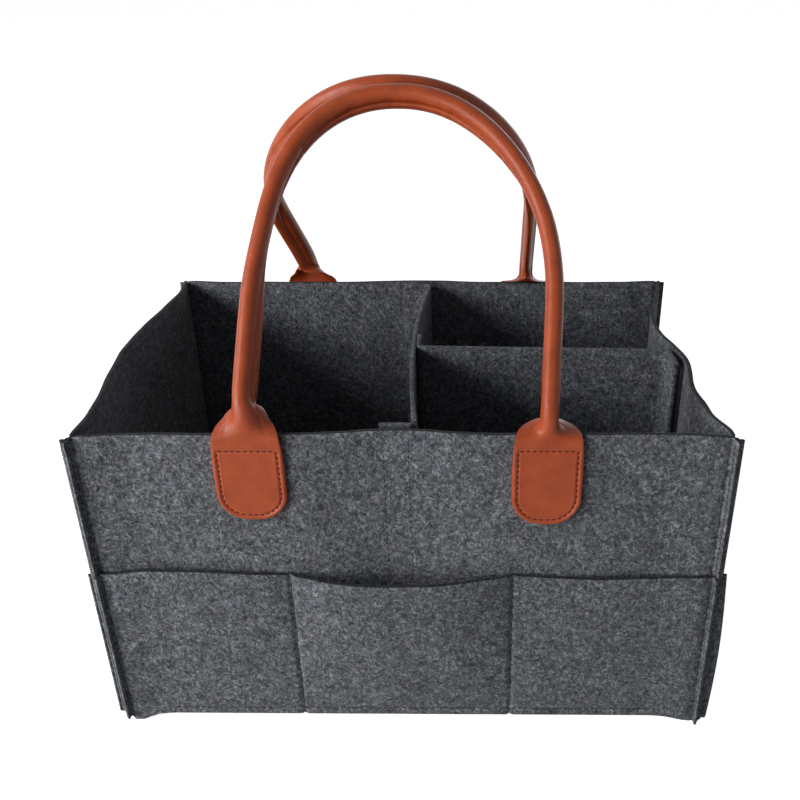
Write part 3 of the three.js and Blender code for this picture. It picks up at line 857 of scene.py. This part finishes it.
swell = max(np.sin(np.linspace(0, pi, 13)) * (1 + tube_pinch * np.cos(np.linspace(0, pi, 13))))
for handle in (front_handle, back_handle):
    handle["length"] = leg_length + handle["rise"]
    lean = asin((pivot_out - tube_half_width * swell - touch_gap / 2) / handle["length"])
    handle["up"] = np.array([0, sin(lean), cos(lean)])
    handle["out"] = np.array([0, -cos(lean), sin(lean)])
rightward = np.array([1.0, 0, 0])
leg_pivot = np.array([0, -pivot_out, pivot_height])

# The tube's outline by distance round it: where each point lies, and which way it heads. A
# valley parts the round of the cord from the flat edge.
fine_angle = np.linspace(0, pi - slit, 400)
fine_x = tube_half_width * np.sin(fine_angle) * (1 + tube_pinch * np.cos(fine_angle))
fine_y = tube_half_depth * (np.cos(fine_angle) - 1)
fine_x -= valley_depth * np.exp(-((fine_y + valley_place) / valley_width) ** 2)
fine_run = distances(np.stack([fine_x, fine_y], -1))
fine_heading = np.unwrap(np.arctan2(-np.gradient(fine_y), np.gradient(fine_x)))
strip_places = np.concatenate([np.linspace(0, 0.72, 20), np.linspace(0.745, 1, 13)])
strip_places = np.concatenate([-strip_places[:0:-1], strip_places])


def curled(share, half_width, thickness):
    """The strip's section, from flat at share 0 to the closed tube at 1: its outer and inner
    points, sideways and away from its front."""
    places = np.linspace(0, 1, 241)
    heading = share * np.interp(places * fine_run[-1], fine_run, fine_heading)
    scale = (half_width * (1 - share) + fine_run[-1] * share) / 240
    middle = (heading[1:] + heading[:-1]) / 2
    x = np.concatenate([[0], np.cumsum(np.cos(middle))]) * scale
    y = -np.concatenate([[0], np.cumsum(np.sin(middle))]) * scale
    away = np.abs(strip_places)
    side = np.sign(strip_places)
    ox = np.interp(away, places, x) * side
    oy = np.interp(away, places, y)
    turn = np.interp(away, places, heading)
    ix = ox - np.sin(turn) * side * thickness
    iy = oy - np.cos(turn) * thickness
    closed = float(smooth(share, 0.55, 0.97))
    tube_x = ox * (tube_half_width - thickness) / tube_half_width
    tube_y = -tube_half_depth + (oy + tube_half_depth) * (tube_half_depth - thickness) / tube_half_depth
    ix = ix * (1 - closed) + tube_x * closed
    iy = iy * (1 - closed) + tube_y * closed
    return ox, oy, ix, iy


def tab_half_at(z):
    """Half the width of the flat tab: square at the top, a round end below."""
    if z < tab_foot + tab_corner:
        drop = min(tab_foot + tab_corner - z, tab_corner)
        return tab_half_width - tab_corner + sqrt(tab_corner ** 2 - drop ** 2)
    return float(np.interp(z, (170, 184, 190.2, 194, 198), (tab_half_width, 17.5, 16.6, 15.1, 12.0)))


def rounded_box_distance(x, z, half, low, high, low_corner, high_corner):
    """Distance inside a box with rounded corners, negative outside."""
    middle = (low + high) / 2
    corner = np.where(z < middle, low_corner, high_corner)
    dx = np.abs(x) - (half - corner)
    dz = np.abs(z - middle) - ((high - low) / 2 - corner)
    outside = np.hypot(np.maximum(dx, 0), np.maximum(dz, 0))
    return corner - outside - np.minimum(np.maximum(dx, dz), 0)


tab_stitch_half = 15.2
tab_stitch_low = tab_foot + 3.2
tab_stitch_high = 182
tab_stitch_round = 12.8
tab_stitch_corner = 1.2


def tab_relief(x, z):
    """How far the tab's face lies behind its highest part."""
    edge = rounded_box_distance(x, z, tab_half_width, tab_foot, 260.0, float(tab_corner), 1.0)
    rolled = np.clip(1 - edge / 2.1, 0, 1)
    drop = 1.5 * (1 - np.sqrt(1 - np.minimum(rolled, 0.999) ** 2))
    row = rounded_box_distance(x, z, tab_stitch_half, tab_stitch_low, tab_stitch_high,
                               tab_stitch_round, tab_stitch_corner)
    groove = 0.8 * np.exp(-(row / 0.8) ** 2) * smooth(-z, -186, -183)
    centre = 0.28 * smooth(row, 0.3, 2.2)
    fade = smooth(-z, -190, -183)
    return drop * (0.25 + 0.75 * fade) + groove + centre * fade


def tab_raised(leg, z):
    return z + leg["tab_up"] * (1 - smooth(z, tab_foot, 176))


def eased(height, marks, values):
    """A value that passes smoothly from one to the next as the height passes the marks."""
    value = values[0]
    for low, high, after in zip(marks[:-1], marks[1:], values[1:]):
        value = value + (after - value) * smooth(height, low, high)
    return value


def leg_aside(handle, leg, height):
    marks = (0, shoulder_height, handle["length"])
    return eased(height, marks, (leg["foot"], leg["shoulder"], handle["sway"]))


def leg_turned(handle, leg, height):
    marks = (4, 26, 60, shoulder_height, handle["length"])
    turns = (0, leg["leg_turn"], leg["leg_turn"], leg["shoulder_turn"], handle["top_turn"])
    return np.radians(eased(height, marks, turns))


def handle_line(handle):
    """Places along the tube's middle from one flare to the other: across, height over the swing
    line, and the tube's turn."""
    half_span = leg_spacing / 2
    leg = np.arange(flare_length, leg_length, 2.5)
    angle = np.linspace(pi, 0, 180)
    across = half_span * np.sign(np.cos(angle)) * np.abs(np.cos(angle)) ** arch_power
    height = leg_length + handle["rise"] * np.abs(np.sin(angle)) ** arch_power
    x = np.concatenate([np.full(len(leg), -half_span), across, np.full(len(leg), half_span)])
    h = np.concatenate([leg, height, leg[::-1]])
    left, right = handle["left"], handle["right"]
    aside = np.where(x < 0, leg_aside(handle, left, h), leg_aside(handle, right, h))
    turn = np.where(x < 0, leg_turned(handle, left, h), leg_turned(handle, right, h))
    return np.stack([x + aside, h, turn], -1)


def end_rows(handle, side):
    """Rows of one end of the strip, from the foot of its tab up to the tube. The strip's places
    count towards the other leg."""
    leg = handle["left"] if side < 0 else handle["right"]
    inward = -side * rightward
    x_tab = side * leg_spacing / 2 + leg["foot"]
    rows = []
    drops = np.concatenate([np.linspace(0, 1.5, 5), np.linspace(2, tab_corner, 22)[1:]])
    tab_z = np.concatenate([tab_foot + drops, np.arange(tab_foot + tab_corner + 0.8, flare_foot - 0.4, 0.8)])
    for z in tab_z:
        half = tab_half_at(z)
        x = strip_places * half
        level = z + 0 * x
        relief = tab_relief(x, level)
        edge = np.clip((half - np.abs(x)) / 1.2, 0, 1)
        placed = tab_raised(leg, level)
        rows.append((np.stack([x_tab - side * x, relief - tab_front, placed], -1),
                     np.stack([x_tab - side * x, -tab_back - 0.15 - 0.35 * (1 - edge), placed], -1)))
    start = np.array([-tab_front, flare_foot])
    front_end = (leg_pivot + handle["up"] * flare_length + handle["out"] * tube_half_depth)[1:]
    tab_way, tube_way = np.array([0, flare_pull]), flare_pull * handle["up"][1:]
    curl_z, curl_share = np.array(leg["curl"]).T
    for t in np.linspace(0, 1, 50):
        point = ((2 * t ** 3 - 3 * t ** 2 + 1) * start + (t ** 3 - 2 * t ** 2 + t) * tab_way
                 + (3 * t ** 2 - 2 * t ** 3) * front_end + (t ** 3 - t ** 2) * tube_way)
        slope = ((6 * t ** 2 - 6 * t) * (start - front_end) + (3 * t ** 2 - 4 * t + 1) * tab_way
                 + (3 * t ** 2 - 2 * t) * tube_way)
        slope /= np.hypot(*slope)
        z = point[1]
        share = float(np.mean(np.interp(z + np.linspace(-0.8, 0.8, 7), curl_z, curl_share)))
        thickness = float(np.interp(z, (183, 190, 200), (2.6, 1.8, leather)))
        half = tab_half_at(z)
        ox, oy, ix, iy = curled(share, half, thickness)
        oy = oy - tab_relief(strip_places * half, z + 0 * ox) * (1 - smooth(z, 186, 192))
        height = float((point - leg_pivot[1:]) @ handle["up"][1:])
        x_leg = side * leg_spacing / 2 + leg_aside(handle, leg, height)
        front = np.array([x_leg, point[0], point[1]])
        out = np.array([0, -slope[1], slope[0]])
        rows.append(section_row(front, inward, out, ox, oy, ix, iy, float(leg_turned(handle, leg, height))))
    return rows


def turned_axes(inward, out, turn):
    """The ways to the tube's round edge and to its side, once it has turned about its middle."""
    return out * cos(turn) - inward * sin(turn), inward * cos(turn) + out * sin(turn)


def section_row(front, inward, out, ox, oy, ix, iy, turn):
    """One row of the strip: its section, turned about the tube's middle."""
    centre = front - out * tube_half_depth
    edge, flank = turned_axes(inward, out, turn)
    nose = centre + edge * tube_half_depth
    outer = nose + ox[:, None] * flank + oy[:, None] * edge
    inner = nose + ix[:, None] * flank + iy[:, None] * edge
    return outer, inner


def creased(handle, run, height):
    """How much the tube is drawn in at each place round it: small folds across its inner side,
    most of them near the top of the arch, where it bends the tightest."""
    folds = (0.6 * sin_of(run, 7.3, 1) + 0.5 * sin_of(run, 11.9, 2) + 0.4 * sin_of(run, 4.6, 3)
             + 0.5 * sin_of(run, 31.0, handle["sway"]))
    depth = 0.085 * max(0, folds - 0.1) * float(smooth(height, 95, 160))
    inner_side = smooth(np.abs(strip_places), 0.3, 0.55) * (1 - 0.6 * smooth(np.abs(strip_places), 0.8, 1))
    return 1 - depth * inner_side


def handle_rows(handle):
    line = handle_line(handle)
    step, run = headings_of(line[:, :2]), distances(line[:, :2])
    ox, oy, ix, iy = curled(1.0, tab_half_width, leather)
    middle = []
    for place in range(1, len(line) - 1):
        x, height, turn = line[place]
        inward = rightward * step[place, 1] - handle["up"] * step[place, 0]
        front = leg_pivot + rightward * x + handle["up"] * height + handle["out"] * tube_half_depth
        fold = creased(handle, run[place], height)
        middle.append(section_row(front, inward, handle["out"], ox * fold, oy, ix * fold, iy, turn))
    return end_rows(handle, -1) + middle + end_rows(handle, 1)[::-1]


def handle_strip(name, handle, angle):
    """The whole strip, and how long it is along its round edge."""
    rows = handle_rows(handle)
    outer, inner = (turned(np.stack([row[face] for row in rows]), angle) for face in (0, 1))
    nose = outer[:, len(strip_places) // 2]
    run = np.concatenate([[0], np.cumsum(np.linalg.norm(np.diff(nose, axis=0), axis=1))])
    uv = np.stack(np.broadcast_arrays(strip_places[None] * tab_half_width * mm, run[:, None] * mm), -1)
    return grid_sheet(name, inner, outer, leather_edge, uv), float(run[-1])


def leather_group():
    """Fine pressed grain of imitation leather, with slight unevenness of its colour."""
    tree = bpy.data.node_groups.new("pressed_grain", "ShaderNodeTree")
    tree.interface.new_socket("Vector", in_out="INPUT", socket_type="NodeSocketVector")
    tree.interface.new_socket("Tone", in_out="OUTPUT", socket_type="NodeSocketFloat")
    tree.interface.new_socket("Height", in_out="OUTPUT", socket_type="NodeSocketFloat")
    make = node_maker(tree)
    place = make("NodeGroupInput").outputs["Vector"]
    cells = make("ShaderNodeTexVoronoi", {"feature": "F1"}, Vector=place, Scale=1500.0).outputs["Distance"]
    wide = noise(make, place, 620.0, 3.0).outputs["Fac"]
    make("NodeGroupOutput", Tone=noise(make, place, 85.0, 4.0, 0.6).outputs["Fac"],
         Height=worked_out(make, "MULTIPLY_ADD", wide, 1.1, cells))
    return tree


tan_leather, make, shader = new_material("tan_leather")
grain = make("ShaderNodeGroup", {"node_tree": leather_group()}, Vector=make("ShaderNodeUVMap").outputs[0])
tone = grain.outputs["Tone"]
bump = make("ShaderNodeBump", Height=grain.outputs["Height"], Strength=0.35, Distance=0.00025)
fill_inputs(shader, Roughness=mapped(make, tone, 0.3, 0.7, 0.33, 0.43), Normal=bump.outputs[0],
            Base_Color=mixed(make, mapped(make, tone, 0.35, 0.65), leather_dark, leather_light),
            Specular_IOR_Level=0.3)

for side, handle, angle, way in (("front", front_handle, 0, -1), ("back", back_handle, pi, 1)):
    strip, strip_length = handle_strip(side + "_handle_strip", handle, angle)
    strip.data.materials.append(tan_leather)
    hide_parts(side + "_handle_leather", side + "_left_tab", side + "_right_tab")
    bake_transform(strip)


# Each tab is sewn with dark waxed thread in one row that follows its outline and crosses its top
waxed_thread = thread_material("waxed_thread", (0.085, 0.014, 0.006, 1), (0.150, 0.027, 0.011, 1), 0.6)
tab_stitch = (2, 1.1, 0.8)
tab_stitch_pitch = 3.2


def tab_row():
    """The stitches of one tab: across, height, and the way each runs."""
    turns = np.linspace(0, pi / 2, 30)
    foot = np.stack([tab_stitch_half - tab_stitch_round * (1 - np.sin(turns)),
                     tab_stitch_low + tab_stitch_round * (1 - np.cos(turns))], -1)
    top = np.stack([tab_stitch_half - tab_stitch_corner * (1 - np.cos(turns)),
                    tab_stitch_high - tab_stitch_corner * (1 - np.sin(turns))], -1)
    right = np.concatenate([foot, top])
    outline = np.concatenate([right, right[::-1] * [-1, 1], right[:1]])
    length = length_of(outline)
    count = int(round(length / tab_stitch_pitch))
    places = (np.arange(count) + 0.5) * length / count
    points = points_at(outline, places)
    way = points_at(outline, places + 0.3) - points
    return points, way / np.hypot(way[:, 0], way[:, 1])[:, None]


stitch_points, stitch_ways = tab_row()
across, z = stitch_points.T
headings = np.stack([stitch_ways[:, 0], 0 * z, stitch_ways[:, 1]], -1)
for side, handle, angle in (("front", front_handle, 0), ("back", back_handle, pi)):
    for end, way, leg in (("first", -1, handle["left"]), ("second", 1, handle["right"])):
        places = np.stack([way * leg_spacing / 2 + leg["foot"] + across,
                           tab_relief(across, z) - tab_front - stitch_proud, tab_raised(leg, z)], -1)
        stitch_row("thread_" + side + "_tab_" + end, angle, places, headings, (0.0, -1, 0),
                   tab_stitch, waxed_thread)


# ---- Handle cords ----
# An undyed cotton cord of three twisted strands lies in the round edge of each tube and keeps
# it full. It ends where the leather flares into its tabs.
cord_half = 2.6
cord_off_middle = 2.5
cord_twist = 14


def cord_points(handle):
    """The cord's surface: rings of three rounded strands, turning as they go along it."""
    line = handle_line(handle)
    rings, round_way = [], np.linspace(0, 2 * pi, 25)
    for (x, height, turn), (across, up), gone in zip(line, headings_of(line[:, :2]), distances(line[:, :2])):
        inward = rightward * up - handle["up"] * across
        edge, flank = turned_axes(inward, handle["out"], turn)
        middle = leg_pivot + rightward * x + handle["up"] * height + edge * cord_off_middle
        lobes = cord_half * (0.84 + 0.16 * np.abs(np.cos(1.5 * (round_way + gone * 2 * pi / cord_twist))))
        rings.append(middle + (lobes * np.cos(round_way))[:, None] * flank
                     + (lobes * np.sin(round_way))[:, None] * edge)
    return np.array(rings)


cotton, make, shader = new_material("twisted_cotton")
yarn = make("ShaderNodeTexWave", {"bands_direction": "DIAGONAL"}, Scale=900.0, Distortion=2.0, Detail=2.0,
            Vector=make("ShaderNodeUVMap").outputs[0]).outputs["Fac"]
bump = make("ShaderNodeBump", Height=yarn, Strength=0.8, Distance=0.0004)
fill_inputs(shader, Base_Color=mixed(make, yarn, (0.42, 0.38, 0.30, 1), (0.72, 0.68, 0.60, 1)),
            Normal=bump.outputs[0], Roughness=0.9)

for name, handle, angle in (("front_handle", front_handle, 0), ("back_handle", back_handle, pi)):
    rings = turned(cord_points(handle), angle)
    rows, columns = rings.shape[:2]
    cord = new_grid(name + "_cord", columns, rows)
    for vertex in cord.data.vertices:
        column = round((vertex.co.x + 1) / 2 * (columns - 1))
        row = round((vertex.co.y + 1) / 2 * (rows - 1))
        vertex.co = rings[row, column] * mm
    bpy.ops.object.mode_set(mode="EDIT")
    bpy.ops.mesh.select_all(action="SELECT")
    bpy.ops.mesh.remove_doubles(threshold=0.00001)
    bpy.ops.mesh.fill_holes(sides=0)
    bpy.ops.mesh.normals_make_consistent(inside=False)
    bpy.ops.object.mode_set(mode="OBJECT")
    bpy.ops.object.shade_smooth_by_angle(angle=radians(60))
    cord.data.materials.append(cotton)
    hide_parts(name + "_core")
    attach(cord, name)
